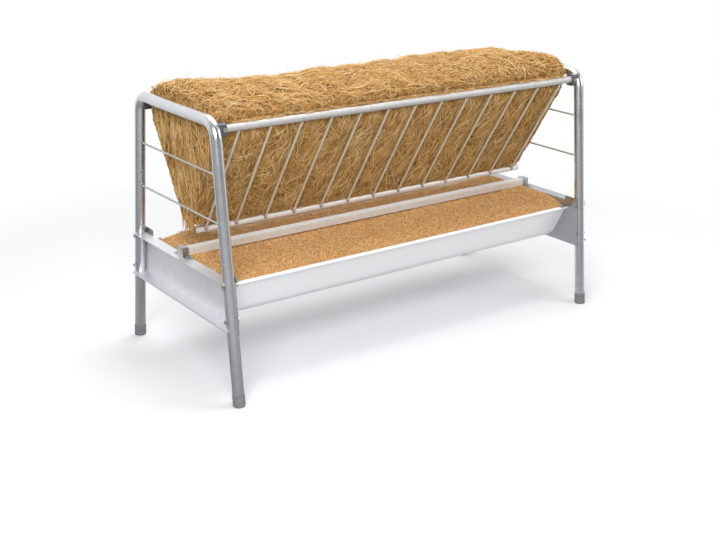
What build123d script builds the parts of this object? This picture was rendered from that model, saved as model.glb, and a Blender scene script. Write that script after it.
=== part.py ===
from build123d import *
import os
from math import atan2, cos, hypot, radians, sin, tan

# A double-sided hay rack over a feed trough, carried by two bent tube end frames.
# X runs along the feeder, Y across it with the front at -Y, and Z up from the floor.

# Driving dimensions, in millimetres
FRAME_SPACING = 1750  # between the centre planes of the two end frames
TOP_HEIGHT = 1003  # centre line of the end frames' top tubes
TOP_HALF = 277  # half the spread of the leg centre lines at TOP_HEIGHT
FOOT_HALF = 393  # half the spread of the leg centre lines at the floor
TUBE_R = 21
TUBE_WALL = 2
BEND_R = 60  # centre line of the end frames' two bends
FOOT_BASE = 4  # the foot caps' floor thickness, which the legs stand on
FOOT_R = 22.5
FOOT_HEIGHT = 46

SHEET = 2  # pressed sheet of the trough and end plates
PLATE_TOP = 452
PLATE_BOTTOM = 262
FLANGE = 50  # how far the end plates' top fold and lower shelf stand out from the web
FOLD_R = 5  # outside radius of a fold
PLATE_REACH = 10  # sheet past the legs' centre lines on each side
SHELF_Z = 286  # top of the angle welded along the lower part of an end plate
SHELF_LIP = 8
LEG_CLEAR = 0.6  # round the legs where they pass through the folds

RIM_HALF = 284  # half the trough's width at the top of its walls
RIM_Z = 416
WALL_SLOPE = 27  # degrees from upright
TROUGH_BOTTOM = 263
TROUGH_CORNER_R = 72
BEAD_R = 7
BEAD_LIFT = 4  # bead centre above the wall's top edge

RAIL_R = 13.5
RAIL_WALL = 2
TOP_RAIL_Y = 268
TOP_RAIL_Z = 977
RACK_BOTTOM_Z = 542
RACK_BOTTOM_HALF = 818  # half the length of the rack's bottom rail
PLUG_LENGTH = 16

BARS_PER_SIDE = 13
BAR_R = 5
BAR_OFFSET = 8  # how far outside the rails' centre lines the bars run
BAR_REACH = 777  # the outermost bars' distance from the middle

WIRE_R = 4
WIRE_HEIGHTS = {"upper": 822, "lower": 651}

CENTRE_RAIL = 32  # square tube
CENTRE_RAIL_WALL = 2.5
CENTRE_RAIL_HALF = 882
SADDLE_X = 868
SADDLE_WIDTH = 26
SADDLE_SHEET = 3
SADDLE_FOOT = 30

CLAMP_LENGTH = 38  # along the rail
CLAMP_WIDTH = 38
CLAMP_HEIGHT = 46
CLAMP_INNER_X = 834
SOCKET_END_X = 852

BRACKET_SHEET = 3.5
BRACKET_BOTTOM = 427
BRACKET_TOP = 472
BRACKET_REACH = 42  # how far a bracket's tongue lies along the rim bead

BOLT_R = 4
HOLE_R = 4.2
HEAD_ACROSS = 13
HEAD_THICK = 5.5
NUT_THICK = 6.5
WASHER_R = 8
WASHER_THICK = 1.6
BOLT_TAIL = 3  # thread past the nut

HAY_CLEAR = 3  # between the hay and the bars
HAY_BOTTOM_Z = 562
HAY_NECKS = 246, 234  # half the hay's width between the top rails, and beside their clamps
HAY_SHOULDER = 14  # how far the loaf above overhangs the neck, and how steeply
HAY_LINES = -196, -98, 0, 98, 196  # distances across the feeder of the tops below
HAY_TOPS = [  # along X: place, then the lumpy top's heights from front to rear
    (-848, 1034, 1044, 1050, 1052, 1044), (-775, 1044, 1062, 1058, 1066, 1052),
    (-700, 1032, 1046, 1068, 1052, 1046), (-625, 1044, 1062, 1054, 1060, 1038),
    (-550, 1030, 1044, 1062, 1046, 1032), (-475, 1042, 1062, 1050, 1056, 1024),
    (-400, 1030, 1044, 1060, 1042, 1026), (-325, 1044, 1062, 1048, 1056, 1020),
    (-250, 1032, 1044, 1064, 1042, 1022), (-175, 1046, 1062, 1052, 1060, 1034),
    (-100, 1030, 1046, 1064, 1048, 1028), (-25, 1044, 1062, 1050, 1060, 1026),
    (50, 1032, 1046, 1064, 1048, 1030), (125, 1048, 1066, 1052, 1062, 1032),
    (200, 1036, 1050, 1068, 1050, 1034), (275, 1052, 1068, 1056, 1066, 1034),
    (350, 1038, 1054, 1072, 1056, 1042), (425, 1054, 1072, 1058, 1066, 1034),
    (500, 1040, 1058, 1074, 1056, 1038), (575, 1056, 1074, 1060, 1064, 1036),
    (650, 1046, 1060, 1072, 1052, 1036), (725, 1062, 1072, 1056, 1060, 1038),
    (812, 1064, 1052, 1036, 1038, 1036)]

FEED_EDGE_Z = 411
FEED_SHOULDER = (185, 438)
FEED_CROWN_Z = 447

HALF = FRAME_SPACING / 2
WEB_X = HALF - TUBE_R  # outer face of the end plates' webs, which touch the legs
END_X = WEB_X - SHEET  # inner face of the webs, where the trough ends
ENDS = {"left": -1, "right": 1}
SIDES = {"front": -1, "rear": 1}
LEG_SLOPE = (FOOT_HALF - TOP_HALF) / TOP_HEIGHT
BOLT_HEIGHTS = {"upper": 439, "lower": 314}
V_ANGLE = atan2(TOP_RAIL_Y, TOP_RAIL_Z - RACK_BOTTOM_Z)


def leg_y(z):
    """Distance of the leg centre lines from the middle plane at height z."""
    return FOOT_HALF - LEG_SLOPE * z


def cylinder_between(start, end, radius):
    """Round rod between two points."""
    axis = Vector(*end) - Vector(*start)
    plane = Plane(origin=start, z_dir=axis)
    return extrude(plane * Circle(radius), amount=axis.length)


def yz_face(outline, x):
    """Face of a closed line drawn in (y, z), placed across the feeder at x."""
    return Plane(origin=(x, 0, 0), x_dir=(0, 1, 0), z_dir=(1, 0, 0)) * make_face(outline)


def save(name, shape):
    export_step(shape, f"parts/{name}.step")


# End frames
def frame_solid(end, radius):
    """Solid along one end frame's centre line: foot, bend, top, bend and foot."""
    x, low = end * HALF, -30
    path = FilletPolyline(
        (x, -leg_y(low), low), (x, -TOP_HALF, TOP_HEIGHT), (x, TOP_HALF, TOP_HEIGHT),
        (x, leg_y(low), low), radius=BEND_R)
    section = Plane(origin=path @ 0, z_dir=path % 0) * Circle(radius)
    return sweep(section, path=path)


def above(z):
    """Block that covers everything above height z."""
    return Pos(0, 0, z) * Box(3000, 2000, 2000, align=(Align.CENTER, Align.CENTER, Align.MIN))


def leg_core(end, side, radius):
    """Solid round a leg's straight part."""
    x = end * HALF
    low, high = -40, TOP_HEIGHT - 2 * BEND_R
    return cylinder_between((x, side * leg_y(low), low), (x, side * leg_y(high), high), radius)


def bolt_hole(end, side, z):
    x = end * HALF
    return Pos(x, side * leg_y(z), z) * Rot(0, 90, 0) * Cylinder(HOLE_R, 4 * TUBE_R)


def end_frame(end, cores):
    tube = (cores[end] - frame_solid(end, TUBE_R - TUBE_WALL)) & above(FOOT_BASE)
    for side in SIDES.values():
        for z in BOLT_HEIGHTS.values():
            tube -= bolt_hole(end, side, z)
    return tube


def foot_cap(end, side):
    """Moulded cap with a flat sole, a thick floor and a rounded top lip."""
    x = end * HALF
    axis_start = (x, side * leg_y(-20), -20)
    axis_end = (x, side * leg_y(FOOT_HEIGHT), FOOT_HEIGHT)
    cup = cylinder_between(axis_start, axis_end, FOOT_R)
    cup = fillet(cup.edges().sort_by(Axis.Z)[-1], 1.5) & above(0)
    cup = chamfer(cup.edges().sort_by(Axis.Z)[0], 2)
    return cup - (leg_core(end, side, TUBE_R) & above(FOOT_BASE))


def end_wire(end, z, cores):
    x = end * HALF
    return cylinder_between((x, -leg_y(z), z), (x, leg_y(z), z), WIRE_R) - cores[end]


# Trough and end plates
def trough_outline(inset):
    """Trough profile in (y, z), drawn inside the outer face by inset, with an open top."""
    slope = radians(WALL_SLOPE)
    half_top = RIM_HALF - inset / cos(slope)
    bottom = TROUGH_BOTTOM + inset
    half_bottom = half_top - (RIM_Z - bottom) * tan(slope)
    radius = TROUGH_CORNER_R - inset
    walls = FilletPolyline((-half_top, RIM_Z), (-half_bottom, bottom),
                           (half_bottom, bottom), (half_top, RIM_Z), radius=radius)
    return walls, half_top


def trough():
    solids = []
    for inset in (0, SHEET):
        walls, half_top = trough_outline(inset)
        face = yz_face(walls + Line((half_top, RIM_Z), (-half_top, RIM_Z)), -END_X)
        solids.append(extrude(face, dir=(1, 0, 0), amount=2 * END_X))
    shell = solids[0] - solids[1]
    for side in SIDES.values():
        y, z = side * (RIM_HALF + BEAD_R - SHEET), RIM_Z + BEAD_LIFT
        bead = cylinder_between((-END_X, y, z), (END_X, y, z), BEAD_R)
        bore = cylinder_between((-END_X, y, z), (END_X, y, z), BEAD_R - SHEET)
        shell = (shell - bead) + (bead - bore)
    return shell


def end_plate(end, cores):
    """Web inside the legs, with its top edge folded out and an angle welded along its lower part."""
    depth, height = FLANGE + SHEET, PLATE_TOP - PLATE_BOTTOM
    middle_z = (PLATE_TOP + PLATE_BOTTOM) / 2
    outer = Pos(END_X + depth / 2, middle_z) * Rectangle(depth, height)
    outer = fillet(outer.vertices().group_by(Axis.Y)[-1].group_by(Axis.X)[0], FOLD_R)
    inner = Pos(WEB_X + depth / 2, middle_z - SHEET) * Rectangle(depth, height)
    inner = fillet(inner.vertices().group_by(Axis.Y)[-1].group_by(Axis.X)[0], FOLD_R - SHEET)
    shelf = Pos(END_X + depth / 2, SHELF_Z - SHEET / 2) * Rectangle(depth, SHEET)
    lip = Pos(END_X + depth - SHEET / 2, SHELF_Z - SHELF_LIP / 2) * Rectangle(SHEET, SHELF_LIP)
    profile = outer - inner + shelf + lip
    sheet = extrude(Plane.XZ * profile, amount=FOOT_HALF * 2, both=True)
    low, high = leg_y(PLATE_BOTTOM) + PLATE_REACH, leg_y(PLATE_TOP) + PLATE_REACH
    ends = Polyline((-low, PLATE_BOTTOM), (low, PLATE_BOTTOM), (high, PLATE_TOP),
                    (-high, PLATE_TOP), close=True)
    plate = sheet & extrude(yz_face(ends, END_X), dir=(1, 0, 0), amount=depth)
    for side in SIDES.values():
        passage = leg_core(1, side, TUBE_R + LEG_CLEAR)
        for top, thick in ((SHELF_Z, SHELF_LIP), (PLATE_TOP, FOLD_R)):
            level = Pos(HALF, 0, top) * Box(4 * FLANGE, 2 * FOOT_HALF, 2 * (thick + 1))
            plate -= passage & level
        for z in BOLT_HEIGHTS.values():
            plate -= bolt_hole(1, side, z)
        for foot in (-1, 1):
            plate -= saddle_hole(foot)
    return plate if end > 0 else mirror(plate, about=Plane.YZ)


def rim_bracket(end, side):
    """Angle bolted through web and leg, with a tongue that lies on the rim bead."""
    inner_y = RIM_HALF - SHEET
    outer_y = leg_y(BRACKET_TOP) + PLATE_REACH
    tongue_y = RIM_HALF + 2 * BEAD_R
    ear = Pos(END_X - BRACKET_SHEET, 0, BRACKET_BOTTOM) * Box(
        BRACKET_SHEET, outer_y - inner_y, BRACKET_TOP - BRACKET_BOTTOM,
        align=(Align.MIN, Align.CENTER, Align.MIN))
    ear = Pos(0, (inner_y + outer_y) / 2, 0) * ear
    ear = fillet(ear.edges().filter_by(Axis.X).group_by(Axis.Z)[-1], 6)
    tongue = Pos(END_X - BRACKET_REACH, (inner_y + tongue_y) / 2, BRACKET_BOTTOM) * Box(
        BRACKET_REACH, tongue_y - inner_y, BRACKET_SHEET, align=(Align.MIN, Align.CENTER, Align.MIN))
    tongue = fillet(tongue.edges().filter_by(Axis.Z).group_by(Axis.X)[0], 6)
    bracket = ear + tongue - bolt_hole(1, 1, BOLT_HEIGHTS["upper"])
    if side < 0:
        bracket = mirror(bracket, about=Plane.XZ)
    return bracket if end > 0 else mirror(bracket, about=Plane.YZ)


# Centre rail and its saddles
def centre_rail():
    size, length = CENTRE_RAIL, 2 * CENTRE_RAIL_HALF
    bore = size - 2 * CENTRE_RAIL_WALL
    section = RectangleRounded(size, size, 4) - RectangleRounded(bore, bore, 1.5)
    plane = Plane(origin=(-CENTRE_RAIL_HALF, 0, PLATE_TOP + size / 2), z_dir=(1, 0, 0))
    return extrude(plane * section, amount=length)


def saddle_hole(foot):
    y = foot * (CENTRE_RAIL / 2 + SADDLE_SHEET + SADDLE_FOOT / 2)
    return Pos(SADDLE_X, y, PLATE_TOP) * Cylinder(HOLE_R, 20)


def rail_saddle(end):
    """Hat-shaped strap over the centre rail with a foot on each side."""
    inner, low, high = CENTRE_RAIL / 2, PLATE_TOP, PLATE_TOP + CENTRE_RAIL
    outer, reach = inner + SADDLE_SHEET, inner + SADDLE_SHEET + SADDLE_FOOT
    hat = Polyline(
        (-reach, low), (-inner, low), (-inner, high), (inner, high), (inner, low), (reach, low),
        (reach, low + SADDLE_SHEET), (outer, low + SADDLE_SHEET), (outer, high + SADDLE_SHEET),
        (-outer, high + SADDLE_SHEET), (-outer, low + SADDLE_SHEET), (-reach, low + SADDLE_SHEET),
        close=True)
    strap = extrude(yz_face(hat, SADDLE_X - SADDLE_WIDTH / 2), dir=(1, 0, 0), amount=SADDLE_WIDTH)
    strap = fillet(strap.edges().filter_by(Axis.X).group_by(Axis.Z)[-1], SADDLE_SHEET - 0.5)
    for foot in (-1, 1):
        strap -= saddle_hole(foot)
    return strap if end > 0 else mirror(strap, about=Plane.YZ)


# Hay rack
def top_rail(side):
    y = side * TOP_RAIL_Y
    start, finish = (-SOCKET_END_X, y, TOP_RAIL_Z), (SOCKET_END_X, y, TOP_RAIL_Z)
    rail = cylinder_between(start, finish, RAIL_R) - cylinder_between(start, finish, RAIL_R - RAIL_WALL)
    for end in ENDS.values():
        rail -= clamp_hole(end, side)
    return rail


def clamp_hole(end, side):
    x = end * (CLAMP_INNER_X + SOCKET_END_X) / 2
    return Pos(x, side * TOP_RAIL_Y, TOP_RAIL_Z) * Rot(90, 0, 0) * Cylinder(HOLE_R, 2 * CLAMP_WIDTH)


def rail_clamp(end, side, cores):
    """Cast block with a socket for the rail and a saddle for the end frame's bend."""
    x = end * (CLAMP_INNER_X + CLAMP_LENGTH / 2)
    block = Pos(x, side * TOP_RAIL_Y, TOP_RAIL_Z - 2) * Box(CLAMP_LENGTH, CLAMP_WIDTH, CLAMP_HEIGHT)
    block = fillet(block.edges().filter_by(Axis.X), 7)
    socket = cylinder_between((0, side * TOP_RAIL_Y, TOP_RAIL_Z),
                              (end * SOCKET_END_X, side * TOP_RAIL_Y, TOP_RAIL_Z), RAIL_R)
    block = block - socket - cores[end] - clamp_hole(end, side)
    return max(block.solids(), key=lambda solid: solid.volume)


def rack_bottom_rail():
    start, finish = (-RACK_BOTTOM_HALF, 0, RACK_BOTTOM_Z), (RACK_BOTTOM_HALF, 0, RACK_BOTTOM_Z)
    return cylinder_between(start, finish, RAIL_R) - cylinder_between(start, finish, RAIL_R - RAIL_WALL)


def rail_plug(end):
    """Push-in plug with a thin domed flange that closes the bottom rail."""
    start = (end * RACK_BOTTOM_HALF, 0, RACK_BOTTOM_Z)
    stem_end = (end * (RACK_BOTTOM_HALF - PLUG_LENGTH), 0, RACK_BOTTOM_Z)
    flange_end = (end * (RACK_BOTTOM_HALF + 3), 0, RACK_BOTTOM_Z)
    flange = cylinder_between(start, flange_end, RAIL_R)
    rim = flange.edges().filter_by(GeomType.CIRCLE).sort_by(Axis.X)[-1 if end > 0 else 0]
    return fillet(rim, 2) + cylinder_between(start, stem_end, RAIL_R - RAIL_WALL)


def rack_bar(x, side):
    """Round bar coped onto the outer sides of the top rail and the bottom rail."""
    shift = Vector(0, side * cos(V_ANGLE), -sin(V_ANGLE)) * BAR_OFFSET
    top = Vector(x, side * TOP_RAIL_Y, TOP_RAIL_Z) + shift
    bar = cylinder_between(Vector(x, 0, RACK_BOTTOM_Z) + shift, top, BAR_R)
    for y, z in ((side * TOP_RAIL_Y, TOP_RAIL_Z), (0, RACK_BOTTOM_Z)):
        bar -= cylinder_between((x - 20, y, z), (x + 20, y, z), RAIL_R)
    return bar


# Fasteners
def bolt(head, direction, grip):
    """Hex bolt with washer and nut: head is where its washer seats, grip what it holds."""
    seat = Plane(origin=head, z_dir=direction)
    across = HEAD_ACROSS / 2 / cos(radians(30))
    washer = extrude(seat * Circle(WASHER_R), amount=-WASHER_THICK)
    cap = extrude(seat.offset(-WASHER_THICK) * RegularPolygon(across, 6), amount=-HEAD_THICK)
    shank = extrude(seat * Circle(BOLT_R), amount=grip + NUT_THICK + BOLT_TAIL)
    nut = extrude(seat.offset(grip) * RegularPolygon(across, 6), amount=NUT_THICK)
    return washer + cap + shank + nut


def plate_bolts(end):
    """Bolts through the legs and webs, and those that hold the saddle."""
    bolts = []
    outer_x = HALF + TUBE_R
    grips = {"upper": outer_x - END_X + BRACKET_SHEET, "lower": outer_x - END_X}
    for side in SIDES.values():
        for place, z in BOLT_HEIGHTS.items():
            bolts.append(bolt((end * outer_x, side * leg_y(z), z), (-end, 0, 0), grips[place]))
        y = side * (CENTRE_RAIL / 2 + SADDLE_SHEET + SADDLE_FOOT / 2)
        bolts.append(bolt((end * SADDLE_X, y, PLATE_TOP + SADDLE_SHEET), (0, 0, -1), SADDLE_SHEET + SHEET))
    return Compound(children=bolts)


def clamp_bolts():
    bolts = []
    for end in ENDS.values():
        x = end * (CLAMP_INNER_X + SOCKET_END_X) / 2
        for side in SIDES.values():
            head = (x, side * (TOP_RAIL_Y + CLAMP_WIDTH / 2), TOP_RAIL_Z)
            bolts.append(bolt(head, (0, -side, 0), CLAMP_WIDTH))
    return Compound(children=bolts)


# Hay and feed
def hay_section(x, tops):
    """Hay profile at x: a V between the bars, a neck between the rails and a lumpy loaf above."""
    neck = HAY_NECKS[abs(x) > CLAMP_INNER_X]
    gap = (BAR_R + HAY_CLEAR - BAR_OFFSET) / cos(V_ANGLE)
    neck_z = RACK_BOTTOM_Z + (neck + gap) / tan(V_ANGLE)
    foot = (HAY_BOTTOM_Z - RACK_BOTTOM_Z) * tan(V_ANGLE) - gap
    shoulder_z = TOP_RAIL_Z + RAIL_R + 8
    loaf, loaf_z = neck + HAY_SHOULDER, shoulder_z + HAY_SHOULDER
    top = Spline((-neck, shoulder_z), (-loaf, loaf_z), *zip(HAY_LINES, tops),
                 (loaf, loaf_z), (neck, shoulder_z))
    sides = Polyline((neck, shoulder_z), (neck, neck_z), (foot, HAY_BOTTOM_Z),
                     (-foot, HAY_BOTTOM_Z), (-neck, neck_z), (-neck, shoulder_z))
    return yz_face(top + sides, x)


def hay_load():
    return loft([hay_section(x, tops) for x, *tops in HAY_TOPS], ruled=True)


def feed_fill():
    """Loose feed that lies in the trough, heaped towards the centre rail."""
    walls, half_top = trough_outline(SHEET)
    face = yz_face(walls + Line((half_top, RIM_Z), (-half_top, RIM_Z)), -END_X)
    filling = extrude(face, dir=(1, 0, 0), amount=2 * END_X)
    edge = RIM_HALF + 5
    shoulder_y, shoulder_z = FEED_SHOULDER
    heap_top = Spline((-edge, FEED_EDGE_Z), (-shoulder_y, shoulder_z), (0, FEED_CROWN_Z),
                      (shoulder_y, shoulder_z), (edge, FEED_EDGE_Z))
    under = Polyline((edge, FEED_EDGE_Z), (edge, 200), (-edge, 200), (-edge, FEED_EDGE_Z))
    heap = extrude(yz_face(heap_top + under, -END_X), dir=(1, 0, 0), amount=2 * END_X)
    inner_top = half_top - SHEET
    above_rim = Pos(0, 0, RIM_Z) * Box(2 * END_X, 2 * inner_top, 60,
                                       align=(Align.CENTER, Align.CENTER, Align.MIN))
    return (filling + above_rim) & heap


def main():
    os.makedirs("parts", exist_ok=True)
    cores = {end: frame_solid(end, TUBE_R) for end in ENDS.values()}
    for end_name, end in ENDS.items():
        save(f"end_frame_{end_name}", end_frame(end, cores))
        save(f"end_plate_{end_name}", end_plate(end, cores))
        save(f"rail_saddle_{end_name}", rail_saddle(end))
        save(f"rail_plug_{end_name}", rail_plug(end))
        save(f"plate_bolts_{end_name}", plate_bolts(end))
        for place, z in WIRE_HEIGHTS.items():
            save(f"end_wire_{end_name}_{place}", end_wire(end, z, cores))
        for side_name, side in SIDES.items():
            save(f"foot_cap_{end_name}_{side_name}", foot_cap(end, side))
            save(f"rail_clamp_{end_name}_{side_name}", rail_clamp(end, side, cores))
            save(f"rim_bracket_{end_name}_{side_name}", rim_bracket(end, side))
    save("trough", trough())
    save("centre_rail", centre_rail())
    save("rack_bottom_rail", rack_bottom_rail())
    pitch = 2 * BAR_REACH / (BARS_PER_SIDE - 1)
    for side_name, side in SIDES.items():
        save(f"top_rail_{side_name}", top_rail(side))
        for index in range(BARS_PER_SIDE):
            save(f"rack_bar_{side_name}_{index + 1:02d}", rack_bar(index * pitch - BAR_REACH, side))
    save("clamp_bolts", clamp_bolts())
    save("hay_load", hay_load())
    save("feed_fill", feed_fill())


main()
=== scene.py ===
import math

import bmesh
import bpy
import numpy as np
from mathutils import Matrix, Vector, noise
from mathutils.bvhtree import BVHTree


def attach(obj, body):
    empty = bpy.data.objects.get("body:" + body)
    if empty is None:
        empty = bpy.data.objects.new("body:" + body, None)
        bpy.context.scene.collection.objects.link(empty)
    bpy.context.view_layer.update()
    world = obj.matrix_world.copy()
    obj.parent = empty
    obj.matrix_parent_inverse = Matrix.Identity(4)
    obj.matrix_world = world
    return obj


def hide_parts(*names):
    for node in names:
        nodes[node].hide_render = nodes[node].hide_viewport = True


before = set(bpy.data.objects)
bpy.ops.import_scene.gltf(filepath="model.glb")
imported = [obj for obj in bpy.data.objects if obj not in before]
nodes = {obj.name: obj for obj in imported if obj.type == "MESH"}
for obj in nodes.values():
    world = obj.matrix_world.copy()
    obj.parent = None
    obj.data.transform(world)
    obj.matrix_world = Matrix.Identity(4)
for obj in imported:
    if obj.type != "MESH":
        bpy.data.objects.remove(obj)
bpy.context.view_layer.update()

# Dimensions shared with the part's source, in metres
HALF = 0.875
TUBE_R = 0.021
FOOT_HALF, TOP_HALF, TOP_HEIGHT = 0.393, 0.277, 1.003
WEB_INNER_X = 0.852  # where the trough ends against the end plates
RAIL_R = 0.0135
TOP_RAIL_Y, TOP_RAIL_Z = 0.268, 0.977
RACK_BOTTOM_Z = 0.542
BAR_R = 0.005
BAR_REACH, BARS_PER_SIDE = 0.777, 13
BAR_PITCH = 2 * BAR_REACH / (BARS_PER_SIDE - 1)
WIRE_R = 0.004
BAR_OFFSET = 0.008
WIRE_HEIGHTS = 0.822, 0.651
HAY_BOTTOM_Z = 0.562
HAY_NECK, HAY_END_NECK = 0.246, 0.234
HAY_SHOULDER = 0.014
HAY_SHOULDER_Z = 0.9985
HAY_LINES = -196, -98, 0, 98, 196  # millimetres across the load, front to rear
HAY_TOPS = [  # millimetres: place along the load, then the heights on those lines
    (-848, 1034, 1044, 1050, 1052, 1044), (-775, 1044, 1062, 1058, 1066, 1052),
    (-700, 1032, 1046, 1068, 1052, 1046), (-625, 1044, 1062, 1054, 1060, 1038),
    (-550, 1030, 1044, 1062, 1046, 1032), (-475, 1042, 1062, 1050, 1056, 1024),
    (-400, 1030, 1044, 1060, 1042, 1026), (-325, 1044, 1062, 1048, 1056, 1020),
    (-250, 1032, 1044, 1064, 1042, 1022), (-175, 1046, 1062, 1052, 1060, 1034),
    (-100, 1030, 1046, 1064, 1048, 1028), (-25, 1044, 1062, 1050, 1060, 1026),
    (50, 1032, 1046, 1064, 1048, 1030), (125, 1048, 1066, 1052, 1062, 1032),
    (200, 1036, 1050, 1068, 1050, 1034), (275, 1052, 1068, 1056, 1066, 1034),
    (350, 1038, 1054, 1072, 1056, 1042), (425, 1054, 1072, 1058, 1066, 1034),
    (500, 1040, 1058, 1074, 1056, 1038), (575, 1056, 1074, 1060, 1064, 1036),
    (650, 1046, 1060, 1072, 1052, 1036), (725, 1062, 1072, 1056, 1060, 1038),
    (812, 1064, 1052, 1036, 1038, 1036)]
RIM_HALF, RIM_Z = 0.284, 0.416
SHEET = 0.002
WALL_SLOPE = math.radians(27)  # the trough's walls, from upright
TROUGH_BOTTOM = 0.263
FEED_EDGE, FEED_SHOULDER, FEED_CROWN_Z = (0.289, 0.411), (0.185, 0.438), 0.447
V_ANGLE = math.atan2(TOP_RAIL_Y, TOP_RAIL_Z - RACK_BOTTOM_Z)  # the rack's sides, from upright

# Limits of the scene's own pieces
HAY_LEFT, HAY_RIGHT = -0.848, 0.812  # ends of the load's body
STALK_LEFT, STALK_RIGHT = -0.8525, 0.8165  # how far the stalks reach past them
HAY_SAG = 0.003  # the body's lower edge hangs this far under the solid's
HAY_TOP_LIMIT = 1.112
LAID_FOOT, LOWEST_STALK = 0.572, 0.5585  # lowest starts and lowest points of laid stalks
BESIDE_RAILS, BESIDE_CLAMPS = 0.2515, 0.2375  # half the room between top rails, and their clamps
CLAMP_X, CLAMP_BOTTOM, CLAMP_TOP = 0.831, 0.952, 1.000
TOP_FACING = 0.35  # normals whose Z is above this belong to the load's top
BAR_SPAN = BAR_REACH + 0.01  # past the outermost bars
FEED_FLOOR = 0.2685  # underside of the feed's bed
FEED_GAP = 0.0004  # between the bed and the trough

rng = np.random.default_rng(5735)


def leg_y(z):
    """Distance of a leg's centre line from the middle at height z."""
    return FOOT_HALF - (FOOT_HALF - TOP_HALF) / TOP_HEIGHT * z


def new_object(name, data):
    made = bpy.data.objects.new(name, data)
    bpy.context.scene.collection.objects.link(made)
    return made


# Camera, floor and light
def make_camera():
    """The photograph's viewpoint, found by fitting the frame's corners and rails."""
    place = Vector((-2.68773, -3.51419, 1.84061))
    forward = Vector((0.561736, 0.751948, -0.345002)).normalized()
    roll, focal_pixels, width_pixels, sensor = 0.0148, 1121.97, 716, 36
    flat_right = forward.cross(Vector((0, 0, 1))).normalized()
    flat_up = flat_right.cross(forward)
    right = flat_right * math.cos(roll) + flat_up * math.sin(roll)
    up = flat_up * math.cos(roll) - flat_right * math.sin(roll)
    data = bpy.data.cameras.new("photo_camera")
    data.sensor_width = sensor
    data.lens = focal_pixels * sensor / width_pixels
    data.clip_start, data.clip_end = 0.05, 200
    camera = new_object("photo_camera", data)
    turn = Matrix((right, up, -forward)).transposed()
    camera.matrix_world = Matrix.Translation(place) @ turn.to_4x4()
    bpy.context.scene.camera = camera


def area_light(name, place, size, power):
    """White round lamp aimed at the middle of the feeder."""
    data = bpy.data.lights.new(name, "AREA")
    data.shape, data.size, data.energy = "DISK", size, power
    light = new_object(name, data)
    light.location = place
    target = Vector((0, 0, 0.6))
    light.rotation_euler = (target - Vector(place)).to_track_quat("-Z", "Y").to_euler()


class Graph:
    """Shader nodes of one material or world, with short calls to add and link them."""

    def __init__(self, owner):
        owner.use_nodes = True
        self.tree = owner.node_tree
        self.tree.nodes.clear()

    def add(self, kind, values=None, **settings):
        node = self.tree.nodes.new(kind)
        for key, value in settings.items():
            setattr(node, key, value)
        for key, value in (values or {}).items():
            if isinstance(value, bpy.types.NodeSocket):
                self.tree.links.new(value, node.inputs[key])
            else:
                node.inputs[key].default_value = value
        return node

    def math(self, operation, first, second):
        """One sum. MULTIPLY_ADD also adds 0.5, the node's own third value."""
        return self.add("ShaderNodeMath", {0: first, 1: second}, operation=operation).outputs[0]

    def ramp(self, factor, *stops):
        """Colour ramp through stops of (position, grey or colour)."""
        node = self.add("ShaderNodeValToRGB", {0: factor})
        elements = node.color_ramp.elements
        while len(elements) < len(stops):
            elements.new(0.5)
        for element, (position, colour) in zip(elements, stops):
            element.position = position
            element.color = (*colour, 1) if isinstance(colour, tuple) else (colour,) * 3 + (1,)
        return node.outputs[0]

    def mix(self, factor, first, second, blend="MIX"):
        node = self.add("ShaderNodeMix", {0: factor, 6: first, 7: second}, data_type="RGBA",
                        blend_type=blend)
        return node.outputs[2]

    def place(self, scale=(1, 1, 1), turn=(0, 0, 0)):
        """Object coordinates, stretched and turned."""
        coordinates = self.add("ShaderNodeTexCoord").outputs["Object"]
        if scale == (1, 1, 1) and turn == (0, 0, 0):
            return coordinates
        return self.add("ShaderNodeMapping", {0: coordinates, 2: turn, 3: scale}).outputs[0]

    def noise(self, at, scale, detail=3, roughness=0.55, distortion=0.0):
        return self.add("ShaderNodeTexNoise", {"Vector": at, "Scale": scale, "Detail": detail,
                                               "Roughness": roughness,
                                               "Distortion": distortion}).outputs[0]


def rgba(red, green, blue):
    return red, green, blue, 1.0


def make_light():
    """Three lamps, and a world that is paper white to the camera, a soft sky to plain surfaces
    and a room, bright behind the object and dark behind the camera, to metal."""
    world = bpy.data.worlds.new("studio")
    bpy.context.scene.world = world
    graph = Graph(world)
    direction = graph.add("ShaderNodeTexCoord").outputs["Generated"]
    room = graph.add("ShaderNodeVectorMath", {0: direction, 1: (-0.30, -0.93, 0.15)},
                     operation="DOT_PRODUCT").outputs["Value"]
    facing = graph.math("MULTIPLY_ADD", room, 0.5)
    reflected = graph.ramp(facing, (0.0, 1.15), (0.45, 1.05), (0.62, 0.60), (0.80, 0.18),
                           (1.0, 0.08))
    up = graph.add("ShaderNodeSeparateXYZ", {0: direction}).outputs[2]
    diffuse = graph.ramp(graph.math("MULTIPLY_ADD", up, 0.5), (0.0, 0.24), (0.5, 0.60),
                         (0.75, 0.46), (1.0, 0.40))
    path = graph.add("ShaderNodeLightPath").outputs
    colour = graph.mix(path["Is Glossy Ray"], diffuse, reflected)
    shown = graph.math("MAXIMUM", path["Is Camera Ray"], path["Is Transmission Ray"])
    colour = graph.mix(shown, colour, rgba(1, 1, 1))
    background = graph.add("ShaderNodeBackground", {"Color": colour, "Strength": 1.0})
    graph.add("ShaderNodeOutputWorld", {0: background.outputs[0]})
    area_light("key", (-2.5, -2.7, 2.5), 2.2, 108)
    area_light("fill", (2.6, -2.6, 2.2), 2.2, 32)
    area_light("top", (0.2, 0.3, 3.4), 2.4, 78)


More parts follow.
